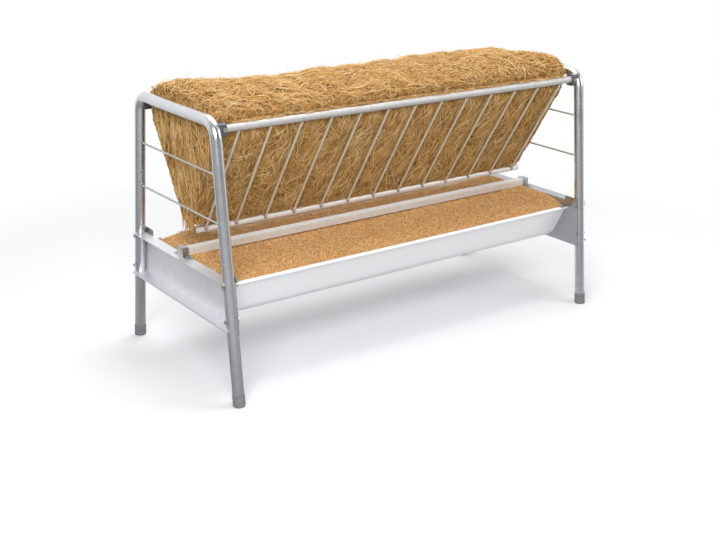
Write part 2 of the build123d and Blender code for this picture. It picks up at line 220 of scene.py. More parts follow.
def make_floor():
    """Pale floor: it keeps the object's shade, fades to paper white away from it, and shows in
    metal as bright beyond the object and dark before it."""
    size = 40
    mesh = bpy.data.meshes.new("floor")
    mesh.from_pydata([(-size, -size, 0), (size, -size, 0), (size, size, 0), (-size, size, 0)], [],
                     [(0, 1, 2, 3)])
    floor = new_object("floor", mesh)
    material = bpy.data.materials.new("pale_floor")
    graph = Graph(material)
    path = graph.add("ShaderNodeLightPath").outputs
    # To diffuse rays the floor is a darker grey than the camera sees: a dimmed bounce, painted
    # shade on the trough's underside and other faces that look down.
    paper = graph.mix(path["Is Diffuse Ray"], rgba(0.90, 0.905, 0.92), rgba(0.50, 0.50, 0.51))
    lit = graph.add("ShaderNodeBsdfDiffuse", {"Color": paper})
    glow = graph.add("ShaderNodeEmission", {"Color": rgba(1, 1, 1), "Strength": 1.0})
    ahead = graph.add("ShaderNodeVectorMath", {0: graph.place(), 1: (-0.60, -0.80, 0)},
                      operation="DOT_PRODUCT").outputs["Value"]
    along = graph.math("MULTIPLY", graph.math("ADD", ahead, 1.0), 0.25)
    mirror_tone = graph.ramp(along, (0.0, 1.25), (0.14, 0.75), (0.27, 0.22), (0.41, 0.07),
                             (0.55, 0.09), (0.75, 0.30), (1.0, 0.50))
    plain = graph.add("ShaderNodeEmission", {"Color": mirror_tone, "Strength": 1.0})
    away = graph.add("ShaderNodeVectorMath", {0: graph.place()},
                     operation="LENGTH").outputs["Value"]
    pale = graph.ramp(graph.math("DIVIDE", away, 5.0), (0.26, 0.04), (0.50, 1.0))
    seen = graph.add("ShaderNodeMixShader", {0: pale, 1: lit.outputs[0], 2: glow.outputs[0]})
    mirrored = graph.add("ShaderNodeMixShader", {0: path["Is Camera Ray"], 1: lit.outputs[0],
                                                 2: seen.outputs[0]})
    in_metal = graph.math("MULTIPLY", path["Is Glossy Ray"], 0.7)
    shader = graph.add("ShaderNodeMixShader", {0: in_metal, 1: mirrored.outputs[0],
                                               2: plain.outputs[0]})
    graph.add("ShaderNodeOutputMaterial", {0: shader.outputs[0]})
    mesh.materials.append(material)


# Materials
def begin(name):
    material = bpy.data.materials.new(name)
    return material, Graph(material)


def principled(made, colour, roughness, height, bump, strength, **constants):
    """Finishes what begin made. colour and roughness are sockets or values, height is a socket,
    and bump is its full depth in metres."""
    material, graph = made
    relief = graph.add("ShaderNodeBump", {"Height": height, "Distance": bump, "Strength": strength})
    shader = graph.add("ShaderNodeBsdfPrincipled", {"Base Color": colour, "Roughness": roughness,
                                                    "Normal": relief.outputs[0]})
    for key, value in constants.items():
        shader.inputs[key.replace("_", " ")].default_value = value
    graph.add("ShaderNodeOutputMaterial", {0: shader.outputs[0]})
    return material


def zinc(name, light, dark, crystal, roughness, metallic, streak=(1, 1, 1), relief=0.35):
    """Galvanised steel: faint crystal pattern, cloudy dull patches and fine wiping marks."""
    made = begin(name)
    graph = made[1]
    at = graph.place()
    cells = graph.add("ShaderNodeTexVoronoi", {"Vector": at, "Scale": crystal, "Randomness": 1.0})
    grain = graph.add("ShaderNodeSeparateColor", {0: cells.outputs["Color"]}).outputs[0]
    clouds = graph.noise(at, 7, 4, 0.6)
    marks = graph.noise(graph.place(streak), 60, 3, 0.6)
    tone = graph.math("ADD", graph.math("MULTIPLY", grain, 0.30),
                      graph.math("MULTIPLY", clouds, 0.5))
    tone = graph.math("ADD", tone, graph.math("MULTIPLY", marks, 0.35))
    colour = graph.ramp(tone, (0.30, dark), (0.78, light))
    rough = graph.math("ADD", graph.math("MULTIPLY", grain, 0.02),
                       graph.math("MULTIPLY", clouds, 0.22))
    rough = graph.math("ADD", rough, roughness - 0.13)
    return principled(made, colour, rough, marks, 0.0005, relief, Metallic=metallic)


def spread(colours, first, width):
    """Ramp stops for the colours, from first over the width."""
    return [(first + width * index / (len(colours) - 1), colour)
            for index, colour in enumerate(colours)]


def straw(name, *colours):
    """Dry stalk: a tone of its own for each stalk, patches and fine dark flecks."""
    made = begin(name)
    graph = made[1]
    own = graph.add("ShaderNodeNewGeometry").outputs["Random Per Island"]
    patch = graph.noise(graph.place(), 17, 4, 0.65)
    tone = graph.math("ADD", graph.math("MULTIPLY", own, 0.68), graph.math("MULTIPLY", patch, 1.2))
    tone = graph.math("SUBTRACT", tone, 0.31)
    colour = graph.ramp(tone, *spread(colours, 0.12, 0.95))
    spots = graph.noise(graph.place(), 260, 2, 0.7)
    colour = graph.mix(graph.math("MULTIPLY", spots, 0.35), colour,
                       graph.mix(1.0, colour, rgba(0.70, 0.58, 0.45), "MULTIPLY"))
    return principled(made, colour, 0.62, spots, 0.0004, 0.4, Specular_IOR_Level=0.32)


def hay_core_material():
    """Depth of the load between the stalks: dark fibres that run every way, whose near-black tones
    are painted shade deep between the stalks.
    """
    made = begin("hay_core")
    graph = made[1]
    fibres = graph.noise(graph.place((3, 3, 0.6)), 60, 5, 0.7, 0.8)
    across = graph.noise(graph.place((0.6, 3, 3), (0, 0.4, 0.2)), 70, 5, 0.7, 0.6)
    height = graph.math("MAXIMUM", fibres, across)
    # The near-black lower stops are painted shade deep between the stalks.
    colour = graph.ramp(height, (0.36, (0.085, 0.036, 0.010)), (0.50, (0.27, 0.135, 0.038)),
                        (0.64, (0.50, 0.28, 0.09)), (0.80, (0.70, 0.45, 0.18)))
    return principled(made, colour, 0.85, height, 0.006, 0.9, Specular_IOR_Level=0.2)


def feed_core_material():
    """Packed kernels of the bed, one tone for each, with painted shade in the crevices between
    them.
    """
    made = begin("feed_bed")
    graph = made[1]
    at = graph.place()
    cells = graph.add("ShaderNodeTexVoronoi", {"Vector": at, "Scale": 190, "Randomness": 1.0})
    own = graph.add("ShaderNodeSeparateColor", {0: cells.outputs["Color"]}).outputs[0]
    # Darker towards each cell's edge: painted shade in the crevices between the kernels.
    gap = graph.ramp(cells.outputs["Distance"], (0.35, 1.0), (0.75, 0.60))
    patch = graph.noise(at, 9, 3, 0.6)
    tone = graph.math("ADD", graph.math("MULTIPLY", own, 0.7), graph.math("MULTIPLY", patch, 0.4))
    colour = graph.ramp(tone, (0.10, (0.57, 0.27, 0.090)), (0.50, (0.74, 0.40, 0.150)),
                        (0.95, (0.81, 0.54, 0.26)))
    colour = graph.mix(1.0, colour, gap, "MULTIPLY")
    height = graph.math("SUBTRACT", 1.0, cells.outputs["Distance"])
    return principled(made, colour, 0.75, height, 0.003, 0.8, Specular_IOR_Level=0.3)


def grain_material(name, *colours):
    """Loose kernels, one tone for each."""
    made = begin(name)
    graph = made[1]
    own = graph.add("ShaderNodeNewGeometry").outputs["Random Per Island"]
    patch = graph.noise(graph.place(), 320, 2, 0.6)
    tone = graph.math("ADD", graph.math("MULTIPLY", own, 0.8), graph.math("MULTIPLY", patch, 0.35))
    colour = graph.ramp(tone, *spread(colours, 0.12, 0.9))
    return principled(made, colour, 0.6, patch, 0.0006, 0.5, Specular_IOR_Level=0.35)


def moulded(name, colour):
    """Dark plastic with fine pores and scuffs."""
    made = begin(name)
    graph = made[1]
    pores = graph.noise(graph.place(), 900, 2, 0.6)
    scuffs = graph.noise(graph.place((1, 1, 4)), 45, 4, 0.65)
    shade = graph.ramp(scuffs, (0.35, colour), (0.75, tuple(1.5 * c + 0.02 for c in colour)))
    return principled(made, shade, 0.55, pores, 0.0003, 0.4)


def weld_material():
    """Weld metal: dark, partly heat-darkened and partly painted shade at the joints, with grey zinc
    paint over part of it.
    """
    made = begin("weld_metal")
    graph = made[1]
    spots = graph.noise(graph.place(), 240, 3, 0.6)
    # Near-black tone: partly the welds' heat tint, partly painted shade at the joints.
    colour = graph.ramp(spots, (0.35, (0.10, 0.10, 0.11)), (0.65, (0.34, 0.34, 0.36)))
    return principled(made, colour, 0.55, spots, 0.0008, 0.7, Metallic=0.7)


# Mesh helpers
def add_piece(name, points, faces, material, body):
    """Smooth piece of equal-sided faces that rides on the body."""
    mesh = bpy.data.meshes.new(name)
    points = np.asarray(points, np.float32)
    faces = np.asarray(faces, np.int32)
    count, corners = faces.shape
    mesh.vertices.add(len(points))
    mesh.vertices.foreach_set("co", points.ravel())
    mesh.loops.add(count * corners)
    mesh.loops.foreach_set("vertex_index", faces.ravel())
    mesh.polygons.add(count)
    mesh.polygons.foreach_set("loop_start", np.arange(0, count * corners, corners, dtype=np.int32))
    mesh.polygons.foreach_set("use_smooth", np.full(count, True))
    mesh.update(calc_edges=True)
    mesh.validate()
    mesh.materials.append(material)
    piece = new_object(name, mesh)
    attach(piece, body)
    return piece


def tube_rings(paths, radii, sides=3, twist=None, flat=1.0):
    """Closed tubes along many paths at once: paths (n, k, 3), radii (n, k). The ends close on a
    point. flat under 1 makes blades: the section is that much thinner one way."""
    count, steps = paths.shape[:2]
    along = np.gradient(paths, axis=1)
    along /= np.linalg.norm(along, axis=2, keepdims=True) + 1e-12
    aid = np.where(np.abs(along[..., 2:]) < 0.9, np.array([0, 0, 1.0]), np.array([1.0, 0, 0]))
    first = np.cross(along, aid)
    first /= np.linalg.norm(first, axis=2, keepdims=True) + 1e-12
    second = np.cross(along, first)
    start = np.zeros(count) if twist is None else twist
    angle = start[:, None] + 2 * np.pi * np.arange(sides)[None, :] / sides
    inner = slice(1, steps - 1)
    ring = (first[:, inner, None] * np.cos(angle)[:, None, :, None]
            + second[:, inner, None] * np.sin(angle)[:, None, :, None] * flat)
    ring = paths[:, inner, None] + ring * radii[:, inner, None, None]
    rings = steps - 2
    each = rings * sides + 2
    points = np.concatenate([ring.reshape(count, rings * sides, 3), paths[:, :1], paths[:, -1:]],
                            axis=1)
    faces = []
    for side in range(sides):
        after = (side + 1) % sides
        faces.append((rings * sides, after, side))
        last = (rings - 1) * sides
        faces.append((last + side, last + after, rings * sides + 1))
        for row in range(rings - 1):
            a, b = row * sides + side, row * sides + after
            faces += [(a, b, b + sides), (a, b + sides, a + sides)]
    faces = np.array(faces)
    all_faces = (faces[None] + (np.arange(count) * each)[:, None, None]).reshape(-1, 3)
    return points.reshape(-1, 3), all_faces


def vectors(items, attribute):
    """The attribute of all items of a mesh, as rows of three."""
    flat = np.zeros(len(items) * 3, np.float32)
    items.foreach_get(attribute, flat)
    return flat.reshape(-1, 3).astype(float)


def noise_at(points, scale, seed):
    """Smooth noise from -1 to 1 at each point."""
    shift = Vector((seed, seed * 0.7, -seed))
    return np.array([noise.noise(Vector(p) * scale + shift) for p in points])


def scattered(x, y, z, count, thinnest, thickest, shape, name, material, body="hay"):
    """Piece of thin tubes along x, y, z, each (n, k), whose thickness follows shape along them."""
    thick = rng.uniform(thinnest, thickest, count)[:, None] * np.array(shape)
    points, faces = tube_rings(np.stack([x, y, z], -1), thick)
    return add_piece(name, points, faces, material, body)


# Hay
def smooth_through(points, each):
    """Rounded line through the points, each span cut into so many steps."""
    around = np.vstack([2 * points[0] - points[1], points, 2 * points[-1] - points[-2]])
    t = np.linspace(0, 1, each, endpoint=False)[:, None]
    spans = [0.5 * (2 * b + (c - a) * t + (2 * a - 5 * b + 4 * c - d) * t ** 2
                    + (3 * b - a - 3 * c + d) * t ** 3)
             for a, b, c, d in zip(around, around[1:], around[2:], around[3:])]
    return np.concatenate(spans + [points[-1:]])


def hay_outline(x, count):
    """Closed section of the hay load at x as count points of (y, z), evenly spaced."""
    table = np.array(HAY_TOPS) / 1000
    tops = [np.interp(x, table[:, 0], table[:, 1 + line]) for line in range(len(HAY_LINES))]
    neck = np.interp(abs(x), (0.775, -HAY_LEFT), (HAY_NECK, HAY_END_NECK)) if x < 0 else HAY_NECK
    neck_z = RACK_BOTTOM_Z + neck / math.tan(V_ANGLE)
    lift = 0.035 * np.clip((-0.80 - x) / 0.048, 0, 1)  # the left end's foot is torn away
    bottom = HAY_BOTTOM_Z - HAY_SAG + lift
    foot = (bottom - RACK_BOTTOM_Z) * math.tan(V_ANGLE)
    loaf = neck + HAY_SHOULDER
    crown = [(-neck, HAY_SHOULDER_Z), (-loaf, HAY_SHOULDER_Z + HAY_SHOULDER)]
    crown += [(line / 1000, top) for line, top in zip(HAY_LINES, tops)]
    crown += [(loaf, HAY_SHOULDER_Z + HAY_SHOULDER), (neck, HAY_SHOULDER_Z)]
    ring = np.concatenate([[(0, bottom), (-foot, bottom), (-neck, neck_z)],
                           smooth_through(np.array(crown), 6),
                           [(neck, neck_z), (foot, bottom), (0, bottom)]])
    run = np.concatenate([[0], np.cumsum(np.hypot(*np.diff(ring, axis=0).T))])
    at = np.linspace(0, run[-1], count, endpoint=False)
    return np.stack([np.interp(at, run, ring[:, 0]), np.interp(at, run, ring[:, 1])], 1)


def make_hay_core(material):
    """The load's body: lofted sections, pushed out between the bars."""
    stations = np.linspace(HAY_LEFT, HAY_RIGHT, 90)
    around = 90
    points = np.concatenate([np.insert(hay_outline(x, around), 0, x, axis=1) for x in stations])
    faces = []
    for index in range(len(stations) - 1):
        for k in range(around):
            a, b = index * around + k, index * around + (k + 1) % around
            faces.append((a, a + around, b + around, b))
    mesh = bpy.data.meshes.new("hay_start")
    last = (len(stations) - 1) * around
    caps = [tuple(range(around)), tuple(reversed(range(last, last + around)))]
    mesh.from_pydata([tuple(p) for p in points], [], faces + caps)
    start = new_object("hay_start", mesh)
    remesh = start.modifiers.new("even", "REMESH")
    remesh.mode, remesh.voxel_size = "VOXEL", 0.009
    graph = bpy.context.evaluated_depsgraph_get()
    even = bpy.data.meshes.new_from_object(start.evaluated_get(graph))
    bpy.data.objects.remove(start)
    co = push_hay(vectors(even.vertices, "co"), vectors(even.vertices, "normal"))
    even.vertices.foreach_set("co", co.astype(np.float32).ravel())
    even.update()
    even.name = "hay_load_body"
    even.polygons.foreach_set("use_smooth", np.full(len(even.polygons), True))
    even.materials.clear()
    even.materials.append(material)
    core = new_object("hay_load_body", even)
    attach(core, "hay")
    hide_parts("hay_load")
    return core


def push_hay(co, normals):
    """Lumps on top, bulges between the bars and hollows behind them."""
    x, z = co[:, 0], co[:, 2]
    lumps = noise_at(co * (1, 1.3, 1.3), 11.0, 3.1) * 0.005 + noise_at(co, 26.0, 8.2) * 0.006
    fine = noise_at(co, 60.0, 1.7) * 0.0035
    top = np.clip((z - 1.000) / 0.03, 0, 1)
    side = np.clip((0.94 - z) / 0.03, 0, 1) * np.clip((z - 0.575) / 0.03, 0, 1)
    side *= (np.abs(normals[:, 0]) < 0.5)
    phase = (x + BAR_REACH) / BAR_PITCH
    between = np.sin(np.pi * phase) ** 2
    inside = (np.abs(x) < BAR_REACH)
    bulge = np.where(inside, -0.003 + 0.010 * between, -0.003)
    move = top * (lumps - 0.004) + side * (bulge + 0.35 * np.minimum(lumps, 0.004)) + fine
    move = np.where((top == 0) & (side == 0), np.minimum(move, 0) - 0.002 * (z > 0.8), move)
    ends = np.abs(normals[:, 0]) > 0.5
    move = np.where(ends, np.minimum(0.4 * lumps + fine, 0.003), move)
    return co + normals * move[:, None]


def surface_samples(core, count):
    """Random points on the core's faces, by area, with their normals."""
    mesh = core.data
    mesh.calc_loop_triangles()
    triangles = np.zeros(len(mesh.loop_triangles) * 3, np.int32)
    mesh.loop_triangles.foreach_get("vertices", triangles)
    corners = vectors(mesh.vertices, "co")[triangles.reshape(-1, 3)]
    cross = np.cross(corners[:, 1] - corners[:, 0], corners[:, 2] - corners[:, 0])
    area = np.linalg.norm(cross, axis=1)
    chosen = rng.choice(len(area), count, p=area / area.sum())
    u, v = rng.random((2, count))
    over = u + v > 1
    u[over], v[over] = 1 - u[over], 1 - v[over]
    a, b, c = corners[chosen].transpose(1, 0, 2)
    points = a + (b - a) * u[:, None] + (c - a) * v[:, None]
    return points, cross[chosen] / area[chosen, None]


def hay_direction(points, normals):
    """The way stalks lie: swirls on top, mostly downwards on the faces and ends."""
    count = len(points)
    swirl = noise_at(points, 7.0, 20.0) * 3.2 + rng.normal(0, 0.95, count)
    top = np.stack([np.cos(swirl), np.sin(swirl) * 0.8, rng.normal(0, 0.22, count)], 1)
    lean = noise_at(points, 8.0, 40.0) * 0.75 + rng.normal(0, 0.42, count)
    lean = np.where(rng.random(count) < 0.25, rng.normal(0, 1.3, count), lean)
    down = np.stack([np.sin(lean), np.zeros(count), -np.cos(lean)], 1)
    steep = np.abs(normals[:, 0]) > 0.5
    down[steep] = np.stack([np.zeros(count), np.sin(lean), -np.cos(lean)], 1)[steep]
    is_top = (normals[:, 2] > TOP_FACING)[:, None]
    way = np.where(is_top, top, down)
    way -= normals * np.sum(way * normals, axis=1, keepdims=True)
    return way / (np.linalg.norm(way, axis=1, keepdims=True) + 1e-9)


def lay_on(tree, points, lift):
    """Each point moved onto the surface and raised by lift along its normal."""
    laid = np.empty_like(points)
    for index, point in enumerate(points):
        place, normal, _, _ = tree.find_nearest(point)
        laid[index] = place + normal * lift[index]
    return laid


def make_stalks(core, name, count, material, length, radius, lift, top_share,
                sides=3, steps=5, flat=1.0):
    """One tone of stalks, laid over the core. top_share weighs the top against the faces."""
    tree = BVHTree.FromObject(core, bpy.context.evaluated_depsgraph_get())
    points, normals = surface_samples(core, int(count * 2.2))
    is_top = normals[:, 2] > TOP_FACING
    under = (normals[:, 2] < -0.9) | (points[:, 2] < LAID_FOOT)
    keep = rng.random(len(points)) < np.where(is_top, top_share, 1 - top_share)
    points, normals = points[keep & ~under][:count], normals[keep & ~under][:count]
    count = len(points)
    way = hay_direction(points, normals)
    long = rng.uniform(*length, count) * np.where(normals[:, 2] > TOP_FACING, 1.0, 1.15)
    along = np.linspace(-0.5, 0.5, steps)
    side = np.cross(way, normals)
    bend = rng.normal(0, 0.10, count)
    paths = (points[:, None] + way[:, None] * (long[:, None] * along[None])[..., None]
             + side[:, None] * (bend[:, None] * long[:, None] * (along[None] ** 2))[..., None])
    raised = rng.uniform(*lift, count)[:, None] + rng.uniform(0, lift[1] * 0.8, (count, steps))
    high = np.where(normals[:, 2] > TOP_FACING, 1.0, 0.35)[:, None]
    laid = lay_on(tree, paths.reshape(-1, 3), (raised * high).ravel()).reshape(count, steps, 3)
    laid = keep_clear(laid)
    thick = rng.uniform(*radius, count)[:, None] * np.ones(steps)
    thick *= np.interp(along, [-0.5, -0.3, 0.3, 0.5], [0.5, 1.0, 0.9, 0.3])
    mesh_points, faces = tube_rings(laid, thick, sides, rng.uniform(0, 6.28, count), flat)
    return add_piece(name, mesh_points, faces, material, "hay")


def nearest_bar(x):
    return np.round((x + BAR_REACH) / BAR_PITCH) * BAR_PITCH - BAR_REACH


def keep_clear(paths):
    """Stalks stay off the end tubes, the top rails and the bars."""
    x, y, z = paths[..., 0], paths[..., 1], paths[..., 2]
    x = np.clip(x, STALK_LEFT, STALK_RIGHT)
    level = np.abs(z - TOP_RAIL_Z) < RAIL_R + 0.004
    y = np.where(level, np.clip(y, -BESIDE_RAILS, BESIDE_RAILS), y)
    clamp = (np.abs(x) > CLAMP_X) & (z < CLAMP_TOP) & (z > CLAMP_BOTTOM)
    y = np.where(clamp, np.clip(y, -BESIDE_CLAMPS, BESIDE_CLAMPS), y)
    nearest = nearest_bar(x)
    bar = (np.abs(x - nearest) < BAR_R + 0.004) & (np.abs(nearest) < BAR_SPAN) & (z < 0.965)
    room = (BAR_OFFSET - BAR_R - 0.0015) / math.cos(V_ANGLE)
    limit = np.maximum((z - RACK_BOTTOM_Z) * math.tan(V_ANGLE) + room, 0.002)
    y = np.where(bar, np.clip(y, -limit, limit), y)
    z = np.maximum(z, LOWEST_STALK)
    return np.stack([x, y, z], -1)


def make_flyaways(core, name, count, material):
    """Loose ends that stand out of the top and break its outline."""
    points, normals = surface_samples(core, count * 5)
    keep = (normals[:, 2] > 0.3) & (points[:, 2] > 1.0)
    points, normals = points[keep][:count], normals[keep][:count]
    count = len(points)
    heading = rng.uniform(0, 2 * np.pi, count)
    rise = np.abs(rng.normal(0, 0.35, count))
    out = np.stack([np.cos(heading), np.sin(heading), rise], 1)
    out /= np.linalg.norm(out, axis=1, keepdims=True)
    long = rng.uniform(0.015, 0.080, count)
    along = np.linspace(0, 1, 5)
    paths = points[:, None] + out[:, None] * (long[:, None] * along[None])[..., None]
    droop = (rng.uniform(-0.1, 0.35, count) * long)[:, None] * along[None] ** 2
    paths[..., 2] -= droop
    z = np.clip(paths[..., 2], 0.9975, HAY_TOP_LIMIT)
    y = np.clip(paths[..., 1], -0.292, 0.292)
    x = np.clip(paths[..., 0], STALK_LEFT, 0.825)
    return scattered(x, y, z, count, 0.0006, 0.0012, (1, 1, 0.9, 0.7, 0.3), name, material)


def clear_of_bars(x, room=0.011):
    """x moved beside the nearest bar where it lies in front of it; tells also where that was."""
    nearest = nearest_bar(x)
    near = (np.abs(x - nearest) < room) & (np.abs(nearest) < BAR_SPAN)
    return np.where(near, nearest + np.sign(x - nearest) * room, x), near


def make_hanging(name, count, material):
    """Short ends that hang from the load's lower edge on both sides of the rail under it."""
    x, near = clear_of_bars(rng.uniform(-0.818, 0.800, count))
    side = rng.choice([-1.0, 1.0], count)
    high = rng.uniform(LAID_FOOT, 0.640, count)
    low = rng.uniform(0.5485, 0.562, count)
    along = np.linspace(0, 1, 5)
    z = high[:, None] + (low - high)[:, None] * along
    face = (z - RACK_BOTTOM_Z) * math.tan(V_ANGLE) + rng.uniform(-0.002, 0.003, (count, 1))
    y = side[:, None] * np.maximum(face, rng.uniform(0.0158, 0.0200, (count, 1)))
    sway = np.clip(rng.normal(0, 0.006, (count, 1)), -0.004, 0.004) * along ** 2
    return scattered(x[:, None] + sway * ~near[:, None], y, z, count, 0.0007, 0.0016,
                     (0.8, 1, 1, 0.8, 0.4), name, material)


def make_fringe(name, count, material):
    """Untidy edge of the crown, lying over the top rails."""
    x = rng.uniform(-0.81, 0.79, count)
    side = rng.choice([-1.0, 1.0], count)
    start = rng.uniform(0.244, 0.266, count)
    turn = rng.uniform(-0.6, 1.2, count)
    heading = rng.choice([-1.0, 1.0], count)
    long = rng.uniform(0.012, 0.050, count)
    along = np.linspace(0, 1, 6)
    px = np.clip(x[:, None] + (heading * np.cos(turn) * long)[:, None] * along, -0.826, 0.806)
    py = start[:, None] + (np.sin(turn) * long)[:, None] * along
    py = np.clip(py, 0.240, TOP_RAIL_Y + 0.007)
    over = np.maximum((RAIL_R + 0.002) ** 2 - (py - TOP_RAIL_Y) ** 2, 0) ** 0.5
    pz = np.maximum(TOP_RAIL_Z + over, 0.9965 - 0.3 * np.maximum(py - 0.250, 0))
    pz = pz + rng.uniform(0.0, 0.006, (count, 1))
    return scattered(px, side[:, None] * py, pz, count, 0.0006, 0.0012,
                     (0.6, 1, 1, 1, 0.8, 0.4), name, material)


def make_lowest(name, count, material):
    """Stalks along the load's lower edge, in the gap over the rail, inside the bars."""
    middle = rng.uniform(-0.77, 0.76, count)
    long = rng.uniform(0.03, 0.10, count)
    along = np.linspace(-0.5, 0.5, 5)
    x = middle[:, None] + long[:, None] * along
    y = rng.uniform(-0.0122, 0.0122, (count, 1)) + rng.normal(0, 0.0006, (count, 5))
    y = np.clip(y, -0.0125, 0.0125)
    top = RACK_BOTTOM_Z + np.sqrt(RAIL_R ** 2 - y ** 2)
    z = top + 0.0022 + rng.uniform(0, 0.006, (count, 1)) + rng.uniform(0, 0.002, (count, 5))
    return scattered(x, y, z, count, 0.0006, 0.0012, (0.5, 1, 1, 0.9, 0.4), name, material)


def make_tail(name, count, material):
    """Loose stalks that hang out of the lower corner of the load's left end."""
    x = rng.uniform(-0.850, -0.824, count)
    y = rng.uniform(-0.036, 0.036, count)
    high = rng.uniform(0.600, 0.650, count)
    low = rng.uniform(0.520, 0.580, count)
    along = np.linspace(0, 1, 5)
    z = high[:, None] + (low - high)[:, None] * along
    out = rng.normal(0, 0.012, (count, 1)) * along ** 1.5
    x = np.clip(x[:, None] + rng.normal(0, 0.01, (count, 1)) * along ** 2, -0.853, -0.822)
    return scattered(x, y[:, None] + out, z, count, 0.0007, 0.0014, (0.8, 1, 1, 0.8, 0.4),
                     name, material)


# Feed
def feed_height(x, y):
    """Height of the loose feed's surface."""
    base = np.interp(np.abs(y), [0, 0.06, 0.12, FEED_SHOULDER[0], 0.235, FEED_EDGE[0]],
                     [FEED_CROWN_Z, 0.4462, 0.4434, FEED_SHOULDER[1], 0.4285, FEED_EDGE[1]])
    points = np.stack([x, y, np.zeros_like(x)], 1)
    waves = noise_at(points, 9.0, 51.0) * 0.0035 + noise_at(points, 30.0, 52.0) * 0.0016
    level = base + waves * np.clip((0.285 - np.abs(y)) / 0.03, 0.2, 1) - 0.001
    # a heap at the rear left, and a rise towards both end plates
    heap = 0.036 * np.exp(-((x + 0.745) / 0.075) ** 2 - ((y - 0.195) / 0.075) ** 2)
    ends = 0.012 * np.clip((np.abs(x) - 0.70) / 0.12, 0, 1)
    beside_plate = 0.4495 + (WEB_INNER_X - np.abs(x)) * 0.62
    beside_rim = 0.4105 + (FEED_EDGE[0] - np.abs(y)) * 0.62
    return np.minimum(level + heap + ends, np.minimum(beside_plate, np.maximum(beside_rim, level)))


def inner_half(z):
    """Half the trough's inner width at height z."""
    return RIM_HALF - SHEET / math.cos(WALL_SLOPE) - (RIM_Z - z) * math.tan(WALL_SLOPE)


def make_feed(bed, tones):
    """Heap with a rough surface, and loose kernels over it."""
    columns, rows = 341, 112
    xs = np.linspace(-WEB_INNER_X + 0.0005, WEB_INNER_X - 0.0005, columns)
    edge = inner_half(0.4115) - FEED_GAP
    ys = np.linspace(-edge, edge, rows)
    grid_x, grid_y = np.meshgrid(xs, ys, indexing="ij")
    flat_x, flat_y = grid_x.ravel(), grid_y.ravel()
    height = feed_height(flat_x, flat_y)
    rough = noise_at(np.stack([flat_x, flat_y, height], 1), 130.0, 9.0) * 0.0012
    top = np.stack([flat_x, flat_y, height + rough], 1)
    under_z = np.linspace(0.40, 0.268, 10)
    half_bottom = inner_half(TROUGH_BOTTOM + SHEET)
    lower = [(-(inner_half(z) - FEED_GAP), max(z, FEED_FLOOR)) for z in under_z[:-3]]
    lower += [(-half_bottom * part, FEED_FLOOR) for part in (0.55, 0.2)]
    lower += [(-y, z) for y, z in reversed(lower)]
    lower = lower[::-1]
    ring = rows + len(lower)
    low = np.array([[(x, y, z) for y, z in lower] for x in xs])
    points = np.concatenate([top.reshape(columns, rows, 3), low], axis=1).reshape(-1, 3)
    index = np.arange(columns * ring).reshape(columns, ring)
    after = np.roll(index, -1, axis=1)
    quads = np.stack([index[:-1], index[1:], after[1:], after[:-1]], -1).reshape(-1, 4)
    mesh = bpy.data.meshes.new("feed_bed")
    caps = [tuple(index[0]), tuple(reversed(index[-1]))]
    mesh.from_pydata(points.tolist(), [], quads.tolist() + caps)
    mesh.polygons.foreach_set("use_smooth", np.full(len(mesh.polygons), True))
    mesh.materials.append(bed)
    piece = new_object("feed_bed", mesh)
    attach(piece, "feeder")
    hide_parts("feed_fill")
    for name, material, count, size in tones:
        make_kernels(name, material, count, size, edge)


def make_kernels(name, material, count, size, edge):
    """Broken kernels of one tone, half sunk in the bed."""
    ball = bmesh.new()
    bmesh.ops.create_icosphere(ball, subdivisions=1, radius=1)
    shape = np.array([v.co[:] for v in ball.verts])
    faces = np.array([[v.index for v in f.verts] for f in ball.faces])
    ball.free()
    x = rng.uniform(-WEB_INNER_X + 0.006, WEB_INNER_X - 0.006, count)
    y = rng.uniform(-edge + 0.006, edge - 0.006, count)
    z = feed_height(x, y) + rng.uniform(-0.0005, 0.0012, count)
    axes = np.stack([rng.uniform(0.75, 1.25, count), rng.uniform(0.55, 0.8, count),
                     rng.uniform(0.45, 0.65, count)], 1) * size
    local = shape[None] * axes[:, None] * rng.uniform(0.86, 1.14, (count, len(shape), 1))
    turn, tip = rng.uniform(0, 2 * np.pi, count), rng.normal(0, 0.5, count)
    ct, st, cp, sp = np.cos(tip), np.sin(tip), np.cos(turn), np.sin(turn)
    lx, ly, lz = local[..., 0], local[..., 1], local[..., 2]
    rx = lx * ct[:, None] + lz * st[:, None]
    rz = lz * ct[:, None] - lx * st[:, None]
    world = np.stack([rx * cp[:, None] - ly * sp[:, None] + x[:, None],
                      rx * sp[:, None] + ly * cp[:, None] + y[:, None], rz + z[:, None]], -1)
    all_faces = (faces[None] + (np.arange(count) * len(shape))[:, None, None]).reshape(-1, 3)
    add_piece(name, world.reshape(-1, 3), all_faces, material, "feeder")


def make_fallen(name, count, material):
    """Stalks that dropped onto the feed, most of them under the load's left end."""
    heaped = rng.random(count) < 0.6
    x = np.where(heaped, rng.uniform(-0.80, -0.50, count), rng.uniform(-0.80, 0.80, count))
    y = np.where(heaped, rng.uniform(0.06, 0.25, count), rng.uniform(-0.25, 0.25, count))
    y = np.where(np.abs(y) < 0.045, np.sign(y) * 0.045, y)
    turn = rng.uniform(0, 2 * np.pi, count)
    long = rng.uniform(0.015, 0.055, count)
    along = np.linspace(-0.5, 0.5, 5)
    px = x[:, None] + (np.cos(turn) * long)[:, None] * along
    py = y[:, None] + (np.sin(turn) * long)[:, None] * along
    py = np.where(np.abs(y)[:, None] < 0.08, y[:, None] + 0 * py, py)
    ground = feed_height(px.ravel(), py.ravel()).reshape(px.shape)
    pz = ground + rng.uniform(0.0015, 0.006, (count, 1))
    return scattered(px, py, pz, count, 0.0006, 0.0013, (0.5, 1, 1, 0.9, 0.4), name, material,
                     "feeder")


